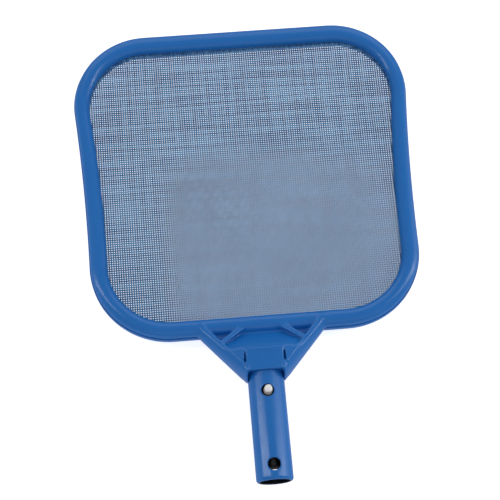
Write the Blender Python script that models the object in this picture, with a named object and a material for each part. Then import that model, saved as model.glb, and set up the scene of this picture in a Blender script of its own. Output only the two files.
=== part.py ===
"""Leaf skimmer: a flat, rounded net frame with a yoke that holds a short tube handle.

Metres, +Z up. The skimmer lies flat: +Y points to the leading edge, -Y to the open end
of the handle and +Z to the front. The origin is the centre of the whole skimmer's box,
which is on the handle's axis, in the plane of the net.
"""

import math

import bmesh
import bpy
from mathutils import Vector

# ---- Driving dimensions -------------------------------------------------------------

# Frame outline, measured on the front bead.
FRAME_LENGTH = 0.2626  # leading edge to yoke edge
HALF_WIDTH_BACK = 0.1314  # half the width where the sides leave the yoke corners
SIDE_FLARE = 0.0059  # how far each side bows out by the leading corners
LEAD_CORNER_RADIUS = 0.060
BACK_CORNER_RADIUS = 0.0625

# Bead of the front frame.
BEAD_WIDTH_LEAD = 0.0148
BEAD_WIDTH_SIDE_LEAD = 0.0119
BEAD_WIDTH_SIDE_BACK = 0.0134
BEAD_WIDTH_BACK = 0.0133
BEAD_HEIGHT = 0.0082  # net plane to crest
BEAD_WALL = 0.0016  # straight foot of the bead under its round top

# Ring behind the net.
RING_DEPTH = 0.0056  # net plane to flat back
RING_PROUD = 0.0010  # how far the ring stands out round the bead
RING_ROUND = 0.0012

# Net.
NET_THICKNESS = 0.0008
NET_BITE = 0.0050  # how far the net reaches under the bead

# Yoke.
BLOCK_HALF_WIDTH = 0.0143
BLOCK_DRAFT = 0.0045  # how much wider the block is at the net plane, each side
BLOCK_LENGTH = 0.0172
BLOCK_RISE = 0.0030  # block face above the crest of the handle
BLOCK_BACK_SHARE = 0.98  # depth of the block behind the net, as a share of its front
RAMP_LENGTH = 0.0150
YOKE_REACH = 0.0335  # yoke edge of the frame to the lower end of the block
ARM_SPREAD = 0.0500  # half the distance between the arms at the frame
ARM_FLANK = 0.0062  # ridge of an arm to its outer edge
ARM_RIDGE_INSET = 0.0015  # ridge inside that edge's corner, at the bead
ARM_ON_BEAD = 0.57  # how far an arm's ridge runs on to the bead, as a share of its width
ARM_TOP = 0.0024
ARM_COLLAR = 0.0072  # how far the arms wrap the handle beyond the block
ARM_KNEE = 0.0015  # where their outer edges turn in, beyond the block
ARM_KNEE_SHARE = 0.85  # flank left at that turn
ARM_KNEE_AT = 0.86  # and how far down the arm it is
ARM_BACK_DEPTH = 0.0050
WEB_FRONT = 0.0026
WEB_BACK = 0.0016
BRACE_WIDTH = 0.0043
BRACE_ARM_SHARE = 0.43  # where a brace leaves its arm, from the frame to the block
BRACE_FOOT = 0.0124  # half the distance between the braces at the frame
BRACE_DROP = 0.0006  # top of a brace below the ridges that it joins
RAMP_SHOULDER_SHARE = 0.35  # where the ramp steepens, as a share of its length
RAMP_SHOULDER_HEIGHT = 0.84  # and its height there, as a share of the block's
RAMP_SPREAD_SHOULDER = 0.0260  # half the width of the ramp's foot there
RAMP_SPREAD_TOP = 0.0300  # and at the bead

# Handle tube.
HANDLE_RADIUS = 0.01425
HANDLE_DRAFT = 0.00015  # how much the radius grows from the yoke to the open end
HANDLE_WALL = 0.0026
HANDLE_REACH = 0.0845  # lower end of the block to the open end
HANDLE_SEAT = 0.0180  # length of tube inside the yoke
HANDLE_LIP_ROUND = 0.0016
HOLE_RADIUS = 0.0049
LOWER_HOLE_FROM_END = 0.0118
HOLE_SPACING = 0.0570

# Spring clip and its two buttons.
STRIP_WIDTH = 0.0090
STRIP_THICKNESS = 0.0007
BEND_RADIUS = 0.0034
PAD_LENGTH = 0.0130
CLIP_END_FROM_LOWER_HOLE = 0.0021  # outside of the bend, towards the open end
BUTTON_RADIUS = 0.0030
BUTTON_PROUD = 0.0041
BUTTON_OFFSET = 0.0006  # button axis from the hole axis, towards the yoke
BUTTON_SIDE = 0.0005  # and towards +X
BUTTON_DOME = 0.7  # height of the round tip, as a share of the radius
FLANGE_RADIUS = 0.0037
FLANGE_THICKNESS = 0.0012
STEM_RADIUS = 0.0016
RIVET_RADIUS = 0.0029
RIVET_THICKNESS = 0.0011

# Clearances.
GAP = 0.0003  # between pieces that touch
YOKE_LIFT = 0.00007  # underside of the yoke above the foot of the bead, inside the bead
FLANGE_CLEARANCE = 0.0003  # button flange to the bore of the tube

# ---- Places worked out from them ----------------------------------------------------

TOTAL_LENGTH = FRAME_LENGTH + YOKE_REACH + HANDLE_REACH + RING_PROUD
Y_LEAD = TOTAL_LENGTH / 2 - RING_PROUD
Y_BACK = Y_LEAD - FRAME_LENGTH
Y_BLOCK_END = Y_BACK - YOKE_REACH
Y_HANDLE_END = Y_BLOCK_END - HANDLE_REACH
Y_HANDLE_TOP = Y_BLOCK_END + HANDLE_SEAT
Y_LOWER_HOLE = Y_HANDLE_END + LOWER_HOLE_FROM_END
Y_UPPER_HOLE = Y_LOWER_HOLE + HOLE_SPACING
Y_BUTTON = Y_UPPER_HOLE + BUTTON_OFFSET

BORE_RADIUS = HANDLE_RADIUS - HANDLE_WALL
BLOCK_FACE = HANDLE_RADIUS + BLOCK_RISE
BEAD_FOOT = NET_THICKNESS / 2 + GAP
FLANGE_FACE = math.sqrt((BORE_RADIUS - FLANGE_CLEARANCE) ** 2 - FLANGE_RADIUS**2)
STRIP_FACE = FLANGE_FACE - FLANGE_THICKNESS - GAP  # outer face of the strip at a button
BUTTON_TIP = HANDLE_RADIUS + BUTTON_PROUD

CORNER_STEPS = 10
SIDE_STEPS = 8
TUBE_SIDES = 48
BUTTON_SIDES = 24


# ---- Mesh helpers -------------------------------------------------------------------


def clear_scene():
    for old in list(bpy.data.objects):
        bpy.data.objects.remove(old, do_unlink=True)


def add_object(name, bm, material=None):
    """The bmesh, in triangles, as an object whose faces point out."""
    bmesh.ops.triangulate(bm, faces=bm.faces)
    bmesh.ops.recalc_face_normals(bm, faces=bm.faces)
    mesh = bpy.data.meshes.new(name)
    bm.to_mesh(mesh)
    bm.free()
    obj = bpy.data.objects.new(name, mesh)
    bpy.context.scene.collection.objects.link(obj)
    if material:
        mesh.materials.append(material)
    return obj


def shade_round(obj, degrees=35):
    obj.data.shade_smooth()
    obj.data.set_sharp_from_angle(angle=math.radians(degrees))


def principled(name, colour, roughness, metallic=0.0):
    material = bpy.data.materials.new(name)
    material.use_nodes = True
    shader = material.node_tree.nodes["Principled BSDF"]
    shader.inputs["Base Color"].default_value = (*colour, 1)
    shader.inputs["Roughness"].default_value = roughness
    shader.inputs["Metallic"].default_value = metallic
    return material


def skin(sections, looped=False):
    """A bmesh over sections of equal length: a closed ring of them, or a capped run."""
    bm = bmesh.new()
    rings = [[bm.verts.new(point) for point in section] for section in sections]
    pairs = list(zip(rings, rings[1:]))
    if looped:
        pairs.append((rings[-1], rings[0]))
    else:
        bm.faces.new(rings[0])
        bm.faces.new(rings[-1])
    for first, second in pairs:
        for i in range(len(first)):
            j = (i + 1) % len(first)
            bm.faces.new((first[i], first[j], second[j], second[i]))
    return bm


def turned(profile, sides, turn):
    """A bmesh turned about an axis. The profile is (radius, height) pairs from one end of
    the axis to the other, or a closed section where it starts off the axis, and turn
    places a point from its radius, height and angle."""
    bm = bmesh.new()
    angles = [2 * math.pi * (i + 0.5) / sides for i in range(sides)]
    rings = []
    for radius, height in profile:
        if radius == 0:
            rings.append([bm.verts.new(turn(0, height, 0))])
        else:
            rings.append([bm.verts.new(turn(radius, height, a)) for a in angles])
    pairs = list(zip(rings, rings[1:]))
    if profile[0][0] > 0:
        pairs.append((rings[-1], rings[0]))
    for first, second in pairs:
        for i in range(sides):
            j = (i + 1) % sides
            corners = (first[i % len(first)], first[j % len(first)])
            corners += (second[j % len(second)], second[i % len(second)])
            bm.faces.new(dict.fromkeys(corners))
    return bm


def boolean(obj, other, operation):
    modifier = obj.modifiers.new(f"{operation} {other.name}", "BOOLEAN")
    modifier.operation = operation
    modifier.solver = "EXACT"
    modifier.object = other
    other.hide_render = True
    other.display_type = "WIRE"
    other.parent = obj


# ---- Frame outline ------------------------------------------------------------------


def outline(y_lead, y_back, lead_radius, back_radius, half_back, flare):
    """Points round a rounded frame whose sides bow out towards the leading corners.

    Outlines of any size have their points in the same order, so that they pair up.
    """
    y_low = y_back + back_radius
    lean = 0.0
    for _ in range(8):
        y_high = y_lead - lead_radius * (1 + math.sin(lean))
        lean = math.atan(2 * flare / (y_high - y_low))
    right = [(0.0, y_back)]
    for step in range(CORNER_STEPS):
        a = math.radians(90 * step / CORNER_STEPS)
        x = half_back - back_radius * (1 - math.sin(a))
        right.append((x, y_low - back_radius * math.cos(a)))
    for step in range(SIDE_STEPS):
        share = step / SIDE_STEPS
        right.append((half_back + flare * share**2, y_low + (y_high - y_low) * share))
    centre_x = half_back + flare - lead_radius * math.cos(lean)
    centre_y = y_high + lead_radius * math.sin(lean)
    for step in range(CORNER_STEPS + 1):
        a = -lean + (math.pi / 2 + lean) * step / CORNER_STEPS
        right.append(
            (centre_x + lead_radius * math.cos(a), centre_y + lead_radius * math.sin(a))
        )
    right.append((0.0, y_lead))
    return right + [(-x, y) for x, y in reversed(right[1:-1])]


def frame_outlines():
    """The outer and the inner outline of the bead."""
    outer = outline(
        Y_LEAD,
        Y_BACK,
        LEAD_CORNER_RADIUS,
        BACK_CORNER_RADIUS,
        HALF_WIDTH_BACK,
        SIDE_FLARE,
    )
    inner = outline(
        Y_LEAD - BEAD_WIDTH_LEAD,
        Y_BACK + BEAD_WIDTH_BACK,
        LEAD_CORNER_RADIUS - BEAD_WIDTH_SIDE_LEAD,
        BACK_CORNER_RADIUS - BEAD_WIDTH_SIDE_BACK,
        HALF_WIDTH_BACK - BEAD_WIDTH_SIDE_BACK,
        SIDE_FLARE + BEAD_WIDTH_SIDE_BACK - BEAD_WIDTH_SIDE_LEAD,
    )
    return outer, inner


def around_frame(profile):
    """Sections round the frame. The profile gives each point as its distance in from the
    outer outline, the share of the bead's width added to that distance, and its height."""
    sections = []
    for outer, inner in zip(*frame_outlines()):
        across = Vector(inner) - Vector(outer)
        section = []
        for inset, share, z in profile:
            point = Vector(outer) + across.normalized() * inset + across * share
            section.append((point.x, point.y, z))
        sections.append(section)
    return sections


def bead_profile():
    """D-section: a flat foot, two short walls and a round top."""
    profile = [(0, 0, BEAD_FOOT)]
    wall_top = BEAD_FOOT + BEAD_WALL
    steps = 10
    for step in range(steps + 1):
        a = math.pi * step / steps
        height = wall_top + (BEAD_HEIGHT - wall_top) * math.sin(a) ** 0.85
        profile.append((0, (1 - math.cos(a)) / 2, height))
    profile.append((0, 1, BEAD_FOOT))
    return profile


def ring_profile(net_edge_from_outer):
    """L-section: a flat ring under the net, with a lip round the net's edge."""
    seat = -NET_THICKNESS / 2 - GAP
    lip = BEAD_FOOT - GAP
    lip_inside = net_edge_from_outer - GAP
    return [
        (-RING_PROUD, 0, lip),
        (-RING_PROUD, 0, RING_ROUND - RING_DEPTH),
        (RING_ROUND - RING_PROUD, 0, -RING_DEPTH),
        (-RING_ROUND, 1, -RING_DEPTH),
        (0, 1, RING_ROUND - RING_DEPTH),
        (0, 1, seat),
        (lip_inside, 0, seat),
        (lip_inside, 0, lip),
    ]


# ---- Pieces -------------------------------------------------------------------------


def make_net(material):
    """A thin flat sheet, to the edge that the bead and the ring hold."""
    bm = bmesh.new()
    rim = [s[0] for s in around_frame([(-NET_BITE, 1, 0)])]
    half = NET_THICKNESS / 2
    front = [bm.verts.new((x, y, half)) for x, y, _ in rim]
    back = [bm.verts.new((x, y, -half)) for x, y, _ in rim]
    bm.faces.new(front)
    bm.faces.new(back)
    for i in range(len(rim)):
        j = (i + 1) % len(rim)
        bm.faces.new((front[i], front[j], back[j], back[i]))
    return add_object("mesh_net", bm, material)


def make_ring(material):
    narrowest = min(BEAD_WIDTH_LEAD, BEAD_WIDTH_SIDE_LEAD)
    narrowest = min(narrowest, BEAD_WIDTH_SIDE_BACK, BEAD_WIDTH_BACK)
    ring = skin(around_frame(ring_profile(narrowest - NET_BITE)), looped=True)
    obj = add_object("rear_ring", ring, material)
    shade_round(obj)
    return obj


def arm_rails(share):
    """Ridge and outer foot of the right arm, from the frame (0) to the block (1)."""
    y_top = Y_BACK + BEAD_WIDTH_BACK * ARM_ON_BEAD
    top = Vector((ARM_SPREAD - ARM_RIDGE_INSET, y_top, BEAD_HEIGHT))
    end_inset = ARM_TOP / 4
    bottom = Vector((BLOCK_HALF_WIDTH, Y_BLOCK_END, BLOCK_FACE))
    bottom += Vector((-1, 1, -1)) * end_inset
    ridge = top.lerp(bottom, share)
    foot_top = Vector((ARM_SPREAD, Y_BACK - GAP))
    collar = Vector((HANDLE_RADIUS, Y_BLOCK_END - ARM_COLLAR))
    knee_x = HANDLE_RADIUS + ARM_FLANK * ARM_KNEE_SHARE
    knee = Vector((knee_x, Y_BLOCK_END - ARM_KNEE))
    if share < ARM_KNEE_AT:
        foot = foot_top.lerp(knee, share / ARM_KNEE_AT)
    else:
        foot = knee.lerp(collar, (share - ARM_KNEE_AT) / (1 - ARM_KNEE_AT))
    return ridge, foot


def arm_sections():
    sections = []
    first, last = arm_rails(0)[0], arm_rails(1)[0]
    along = Vector((last.x - first.x, last.y - first.y, 0)).normalized()
    inward = Vector((along.y, -along.x, 0)) * ARM_TOP
    stations = [ARM_KNEE_AT * step / 5 for step in range(6)]
    stations += [(1 + ARM_KNEE_AT) / 2, 1]
    for share in stations:
        ridge, foot = arm_rails(share)
        inner = ridge + inward
        section = [(inner.x, inner.y, -ARM_BACK_DEPTH), tuple(inner), tuple(ridge)]
        flank_steps = 5
        for step in range(1, flank_steps + 1):
            a = math.pi / 2 * step / flank_steps
            x = ridge.x + (foot.x - ridge.x) * math.sin(a)
            y = ridge.y + (foot.y - ridge.y) * math.sin(a)
            section.append((x, y, ridge.z * math.cos(a)))
        section.append((foot.x, foot.y, -ARM_BACK_DEPTH / 2))
        low = Vector((ridge.x, ridge.y)).lerp(foot, 3 / 4)
        section.append((low.x, low.y, -ARM_BACK_DEPTH))
        sections.append(section)
    return sections


def mirrored_x(sections):
    return [[(-x, y, z) for x, y, z in section] for section in sections]


def brace_sections():
    """Right brace: a thin wall from its arm up to the frame, as high as both."""
    ridge, _ = arm_rails(BRACE_ARM_SHARE)
    foot = Vector((BRACE_FOOT, Y_BACK + BEAD_WIDTH_BACK / 2, BEAD_HEIGHT))
    foot.z -= BRACE_DROP
    start = ridge + Vector((-ARM_TOP / 2, ARM_TOP / 3, -BRACE_DROP))
    along = Vector((foot.x - start.x, foot.y - start.y, 0)).normalized()
    side = Vector((-along.y, along.x, 0)) * BRACE_WIDTH / 2
    sections = []
    for place in (start, foot):
        section = [place + side, place + side * 0.7, place - side * 0.7, place - side]
        drops = (BRACE_DROP, 0, 0, BRACE_DROP)
        points = [(p.x, p.y, p.z - drop) for p, drop in zip(section, drops)]
        points += [(p.x, p.y, 0) for p in (place - side, place + side)]
        sections.append(points)
    return sections


def web_sections():
    """A plate between the arms, from under the bead down to the block's end."""
    _, high = arm_rails(0.04)
    _, low = arm_rails(ARM_KNEE_AT - 0.02)
    y_top = Y_BACK + BEAD_WIDTH_BACK / 2
    inset = ARM_FLANK / 2
    corners = [
        (high.x - inset, y_top),
        (high.x - inset, high.y),
        (low.x - inset, low.y),
        (-low.x + inset, low.y),
        (-high.x + inset, high.y),
        (-high.x + inset, y_top),
    ]
    return [[(x, y, z) for x, y in corners] for z in (-WEB_BACK, WEB_FRONT)]


def block_sections():
    """Raised block over the tube's seat, front and back, with a ramp up from the web."""
    low = BLOCK_HALF_WIDTH + BLOCK_DRAFT
    y_top = Y_BLOCK_END + BLOCK_LENGTH
    y_shoulder = y_top + RAMP_LENGTH * RAMP_SHOULDER_SHARE
    z_shoulder = BLOCK_FACE * RAMP_SHOULDER_HEIGHT
    places = (
        (Y_BLOCK_END, BLOCK_FACE, low),
        (y_top, BLOCK_FACE, low),
        (y_shoulder, z_shoulder, RAMP_SPREAD_SHOULDER),
        (y_top + RAMP_LENGTH, WEB_FRONT * 0.8, RAMP_SPREAD_TOP),
    )
    sections = []
    for y, z, foot in places:
        w, back = BLOCK_HALF_WIDTH, z * BLOCK_BACK_SHARE
        section = [(foot, y, 0), (w, y, z), (-w, y, z)]
        sections.append(section + [(-foot, y, 0), (-w, y, -back), (w, y, -back)])
    return sections


def make_yoke():
    """Arms, braces, web and block, cut back from the net, the ring and the tube's seat."""
    yoke = add_object("frame_web", skin(web_sections()))
    right_arm = arm_sections()
    right_brace = brace_sections()
    solids = {
        "frame_block": block_sections(),
        "frame_arm_right": right_arm,
        "frame_arm_left": mirrored_x(right_arm),
        "frame_brace_right": right_brace,
        "frame_brace_left": mirrored_x(right_brace),
    }
    for name, sections in solids.items():
        boolean(yoke, add_object(name, skin(sections)), "UNION")
    boolean(yoke, ring_clearance(), "DIFFERENCE")
    radius = HANDLE_RADIUS + GAP
    ends = (Y_BLOCK_END - 2 * ARM_COLLAR, Y_HANDLE_TOP + GAP)
    profile = [(0, ends[0]), (radius, ends[0]), (radius, ends[1]), (0, ends[1])]
    seat = add_object("frame_seat", turned(profile, TUBE_SIDES, about_y))
    boolean(yoke, seat, "DIFFERENCE")
    return yoke


def ring_clearance():
    """The space of the net and the ring, which the yoke stays out of."""
    side = RING_PROUD + GAP
    top = BEAD_FOOT + YOKE_LIFT
    bottom = -3 * RING_DEPTH
    profile = [(-side, 0, top), (-side, 0, bottom), (GAP, 1, bottom), (GAP, 1, top)]
    return add_object("frame_ring_clearance", skin(around_frame(profile), looped=True))


def make_front_frame(material):
    bead = skin(around_frame(bead_profile()), looped=True)
    obj = add_object("front_frame", bead, material)
    boolean(obj, make_yoke(), "UNION")
    shade_round(obj)
    return obj


def about_y(radius, height, angle):
    return (radius * math.sin(angle), height, radius * math.cos(angle))


def make_handle(material):
    wide = HANDLE_RADIUS + HANDLE_DRAFT
    lip = HANDLE_LIP_ROUND
    profile = [(BORE_RADIUS, Y_HANDLE_TOP), (HANDLE_RADIUS, Y_HANDLE_TOP)]
    profile.append((HANDLE_RADIUS, Y_BLOCK_END - ARM_COLLAR))
    lip_steps = 4
    for step in range(lip_steps + 1):
        a = math.pi / 2 * step / lip_steps
        radius = wide - lip * (1 - math.cos(a))
        profile.append((radius, Y_HANDLE_END + lip * (1 - math.sin(a))))
    profile.append((BORE_RADIUS, Y_HANDLE_END))
    obj = add_object("handle_tube", turned(profile, TUBE_SIDES, about_y), material)
    drills = {"drill_lower": Y_LOWER_HOLE, "drill_upper": Y_UPPER_HOLE}
    for name, y in drills.items():
        reach = 2 * HANDLE_RADIUS
        ends = [(0, -reach), (HOLE_RADIUS, -reach), (HOLE_RADIUS, reach), (0, reach)]
        drill = turned(ends, BUTTON_SIDES, about_z_at(y))
        boolean(obj, add_object(name, drill), "DIFFERENCE")
    shade_round(obj)
    return obj


def about_z_at(y, flip=1, x=0):
    def turn(radius, height, angle):
        across = x + radius * math.cos(angle)
        return (across, y + radius * math.sin(angle), height * flip)

    return turn


def strip_path():
    """Middle line of the strip's front half in (y, z), and the y of the bend's axis."""
    y_bend = Y_LOWER_HOLE - CLIP_END_FROM_LOWER_HOLE + STRIP_THICKNESS / 2 + BEND_RADIUS
    pad_z = STRIP_FACE - STRIP_THICKNESS / 2
    path = []
    bend_steps = 8
    for step in range(bend_steps + 1):
        a = math.pi / 2 * step / bend_steps
        path.append((y_bend - BEND_RADIUS * math.cos(a), BEND_RADIUS * math.sin(a)))
    path.append((Y_BUTTON - PAD_LENGTH / 2, pad_z))
    path.append((Y_BUTTON + PAD_LENGTH / 2, pad_z))
    return path, y_bend


def make_clip(material):
    half, _ = strip_path()
    path = [Vector((y, -z)) for y, z in reversed(half[1:])]
    path += [Vector((y, z)) for y, z in half]
    sections = []
    for i, place in enumerate(path):
        before = path[max(i - 1, 0)]
        after = path[min(i + 1, len(path) - 1)]
        first = (place - before).normalized() if i else (after - place).normalized()
        last = i == len(path) - 1
        second = first if last else (after - place).normalized()
        normal = Vector((-(first + second).y, (first + second).x)).normalized()
        reach = STRIP_THICKNESS / 2 / max(normal.dot(Vector((-first.y, first.x))), 0.5)
        outer, inner = place - normal * reach, place + normal * reach
        x = STRIP_WIDTH / 2
        section = [(-x, outer.x, outer.y), (x, outer.x, outer.y)]
        sections.append(section + [(x, inner.x, inner.y), (-x, inner.x, inner.y)])
    obj = add_object("clip_spring", skin(sections), material)
    reach = 2 * STRIP_FACE
    radius = STEM_RADIUS + GAP
    ends = [(0, -reach), (radius, -reach), (radius, reach), (0, reach)]
    drill = turned(ends, BUTTON_SIDES, about_z_at(Y_BUTTON, x=BUTTON_SIDE))
    boolean(obj, add_object("clip_drill", drill), "DIFFERENCE")
    shade_round(obj)
    return obj


def make_button(name, flip, material):
    """Rivet head, stem, flange and a domed pin, on the front (1) or the back (-1)."""
    strip_inside = STRIP_FACE - STRIP_THICKNESS - GAP
    profile = [(0, strip_inside - RIVET_THICKNESS)]
    profile.append((RIVET_RADIUS * 0.8, strip_inside - RIVET_THICKNESS))
    profile.append((RIVET_RADIUS, strip_inside - RIVET_THICKNESS * 0.6))
    profile.append((RIVET_RADIUS, strip_inside))
    profile.append((STEM_RADIUS, strip_inside))
    profile.append((STEM_RADIUS, FLANGE_FACE - FLANGE_THICKNESS))
    profile.append((FLANGE_RADIUS, FLANGE_FACE - FLANGE_THICKNESS))
    profile.append((FLANGE_RADIUS, FLANGE_FACE))
    profile.append((BUTTON_RADIUS, FLANGE_FACE))
    dome = BUTTON_RADIUS * BUTTON_DOME
    dome_steps = 6
    for step in range(dome_steps + 1):
        a = math.pi / 2 * step / dome_steps
        radius = BUTTON_RADIUS * math.cos(a) if step < dome_steps else 0
        profile.append((radius, BUTTON_TIP - dome * (1 - math.sin(a))))
    bm = turned(profile, BUTTON_SIDES, about_z_at(0, flip))
    obj = add_object(name, bm, material)
    _, y_bend = strip_path()
    hinge = bpy.data.objects.new(f"{name}_hinge", None)
    hinge.location = (0, y_bend, 0)
    bpy.context.scene.collection.objects.link(hinge)
    obj.parent = hinge
    obj.location = (BUTTON_SIDE, Y_BUTTON - y_bend, 0)
    shade_round(obj)
    return obj


def main():
    clear_scene()
    plastic = principled("blue_plastic", (0.035, 0.16, 0.52), 0.38)
    mesh = principled("net_mesh", (0.20, 0.33, 0.58), 0.6)
    steel = principled("spring_steel", (0.55, 0.56, 0.58), 0.3, 1.0)
    nylon = principled("white_nylon", (0.86, 0.84, 0.78), 0.45)
    make_front_frame(plastic)
    make_ring(plastic)
    make_net(mesh)
    make_handle(plastic)
    make_clip(steel)
    make_button("front_button", 1, nylon)
    make_button("rear_button", -1, nylon)


main()
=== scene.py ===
"""Leaf skimmer: woven net, moulded frame with its yoke, tube handle and spring clip.

Metres, +Z up. The skimmer lies flat with its handle towards -Y and its front up. Sizes
repeat those of the CAD source, so that each piece fits the node that it stands for. Only
the ramp between block and web has a finer shape here than there.
"""

import math

import bmesh
import bpy
import numpy as np
from mathutils import Matrix, Vector


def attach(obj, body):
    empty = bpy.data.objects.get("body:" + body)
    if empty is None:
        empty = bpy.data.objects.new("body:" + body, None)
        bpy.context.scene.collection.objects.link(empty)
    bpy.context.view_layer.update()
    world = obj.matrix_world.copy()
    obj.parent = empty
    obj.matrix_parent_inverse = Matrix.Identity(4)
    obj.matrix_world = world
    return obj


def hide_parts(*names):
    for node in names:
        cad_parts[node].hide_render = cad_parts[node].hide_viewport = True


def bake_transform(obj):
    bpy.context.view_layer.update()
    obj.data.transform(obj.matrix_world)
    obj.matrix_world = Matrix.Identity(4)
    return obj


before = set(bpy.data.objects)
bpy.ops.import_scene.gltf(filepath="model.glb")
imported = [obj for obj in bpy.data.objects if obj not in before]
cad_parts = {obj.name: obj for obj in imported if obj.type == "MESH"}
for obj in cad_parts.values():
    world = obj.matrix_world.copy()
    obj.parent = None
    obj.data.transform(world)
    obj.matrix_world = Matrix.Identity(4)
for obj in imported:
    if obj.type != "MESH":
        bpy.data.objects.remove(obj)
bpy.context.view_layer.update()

# ---- Sizes --------------------------------------------------------------------------

Y_LEAD = 0.1898  # leading edge of the bead
Y_BACK = -0.0728  # yoke edge of the bead
HALF_WIDTH_BACK = 0.1314
SIDE_FLARE = 0.0059
LEAD_CORNER_RADIUS = 0.060
BACK_CORNER_RADIUS = 0.0625
BEAD_WIDTH_LEAD = 0.0148
BEAD_WIDTH_SIDE_LEAD = 0.0119
BEAD_WIDTH_SIDE_BACK = 0.0134
BEAD_WIDTH_BACK = 0.0133
BEAD_FOOT = 0.0007
BEAD_WALL = 0.0016
BEAD_HEIGHT = 0.0082
BEAD_FOOT_EDGE = 0.0006
BEAD_SQUARENESS = 0.85  # 1 for a bead that is round on top, less for a flatter one

RING_DEPTH = 0.0056
RING_PROUD = 0.0010
RING_ROUND = 0.0012
RING_EDGE = 0.0004
RING_SEAT = -0.0007
RING_LIP = 0.0004
NET_BITE = 0.0050  # how far the net reaches in under the bead
GAP = 0.0003  # between pieces that are assembled

BLOCK_END = -0.1063
BLOCK_LENGTH = 0.0172
BLOCK_HALF_WIDTH = 0.0143
BLOCK_DRAFT = 0.0045
BLOCK_FACE = 0.01725
BLOCK_BACK_SHARE = 0.98
BLOCK_EDGE = 0.0009
BLOCK_END_EDGE = 0.0007
RAMP_LENGTH = 0.0160
RAMP_FALL = 0.24  # how steeply the ramp falls away to each side
RAMP_FALL_BACK = 1.2
RAMP_FALL_EASE = 0.0050  # how gently that fall sets in beside the block
RAMP_EDGE = 0.0012
RAMP_BELOW_RIDGE = 0.0008  # how far inside the arm's line the ramp ends
RAMP_START = 0.0150  # where the ramp begins, up from the end of the block
GROOVE_WIDTH = 0.0014  # between the block and what fills the corner to an arm
GROOVE_FADE = 0.0015
RAMP_TOE = 0.12  # the ramp's height where it meets the web, as a share of the block's
RAMP_BULGE = 1.25  # 1 for a straight ramp, more for one that bulges
ARM_SPREAD = 0.0500
ARM_RIDGE_INSET = 0.0015
ARM_ON_BEAD = 0.57
ARM_FLANK = 0.0062
ARM_FLANK_EXTRA = 0.0002  # at the bead, so that the rounded flank keeps its width
ARM_FLANK_TAPER = 0.0006  # lost on the way to the block
ARM_TOP = 0.0024
ARM_KNEE = 0.0015
ARM_KNEE_SHARE = 0.85
ARM_COLLAR = 0.0072
ARM_TAIL = 0.0060  # how far the ridge runs on past the block's end as it rounds off
ARM_BACK_DEPTH = 0.0050
ARM_EDGE = 0.0008
ARM_FOOT_EDGE = 0.0010
ARM_RUN_UP = 0.002  # how far the arm starts inside the bead
ARM_CUT_FROM_END = 0.0012  # where the cut over the handle may begin
ARM_CUT_EDGE = 0.0005
WEB_FRONT = 0.0026
WEB_BACK = 0.0016
WEB_SETBACK = 0.0002  # from the block's end
BRACE_WIDTH = 0.0043
BRACE_ARM_SHARE = 0.43
BRACE_FOOT = 0.0124
BRACE_START_SHIFT = (-0.0010, 0.0008)  # from the arm's line to its inner face
BRACE_BELOW_RIDGE = 0.0005
BRACE_ON_BEAD = 0.45
BRACE_DROP = 0.0006
BRACE_EDGE = 0.0011

# Fillets where two parts of the moulding meet
BLOCK_RAMP_FILLET = 0.0016
BLOCK_ARM_FILLET = 0.0018
WEB_FILLET = 0.0040
BRACE_FILLET = 0.0010
BEAD_FILLET = 0.0014
SHARP_EDGE = 0.0003
FIT = 0.0001  # a cut's clearance from the surface that it must leave alone

HANDLE_RADIUS = 0.01425
HANDLE_DRAFT = 0.00015
BORE_RADIUS = 0.01165
HANDLE_END = -0.1908
HANDLE_TOP = -0.0883
HANDLE_END_ROUND = 0.0026
HANDLE_TOP_ROUND = 0.0006
HANDLE_BORE_ROUND = 0.0009
HOLE_RADIUS = 0.0049
HOLE_ROUND = 0.0005
HOLE_PLACES = (-0.1790, -0.1220)

STRIP_WIDTH = 0.0090
STRIP_THICKNESS = 0.0007
BEND_RADIUS = 0.0034
BEND_AXIS = -0.17735
PAD_LENGTH = 0.0130
BUTTON_PLACE = -0.1214
BUTTON_SIDE = 0.0005
BUTTON_RADIUS = 0.0030
BUTTON_DOME = 0.7
BUTTON_EDGE = 0.0003
BUTTON_TIP = 0.01835
FLANGE_RADIUS = 0.0037
FLANGE_FACE = math.sqrt((BORE_RADIUS - GAP) ** 2 - FLANGE_RADIUS**2)
FLANGE_THICKNESS = 0.0012
STEM_RADIUS = 0.0016
RIVET_RADIUS = 0.0029
RIVET_THICKNESS = 0.0011
RIVET_ROUND = 0.0007
STRIP_FACE = FLANGE_FACE - FLANGE_THICKNESS - GAP

NET_PITCH = 0.00185
NET_THREAD = 0.00106
NET_CRIMP = 0.00018  # a thread's rise and fall over the ones that it crosses
NET_HELD, NET_FREE = 0.004, 0.030  # it starts to wave and waves fully, in from its edge
NET_RIPPLE = 0.0016  # how much the net's surface waves
NET_DRIFT = 0.0005  # how far a thread strays sideways

FLOOR_HEIGHT = -0.019
FLOOR_REACH = 4.0


# ---- Node trees ---------------------------------------------------------------------


class Value:
    """A node's output that Python arithmetic can use."""

    def __init__(self, tree, socket):
        self.tree, self.socket = tree, socket

    def math(self, operation, *others):
        values = dict(enumerate((self, *others)))
        return self.tree.node("ShaderNodeMath", {"operation": operation}, values)

    def __add__(self, other):
        return self.math("ADD", other)

    def __mul__(self, other):
        return self.math("MULTIPLY", other)

    __radd__, __rmul__ = __add__, __mul__

    def __sub__(self, other):
        return self.math("SUBTRACT", other)

    def __rsub__(self, other):
        return self * -1 + other

    def __truediv__(self, other):
        return self.math("DIVIDE", other)

    def __pow__(self, other):
        return self.math("POWER", other)


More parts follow.
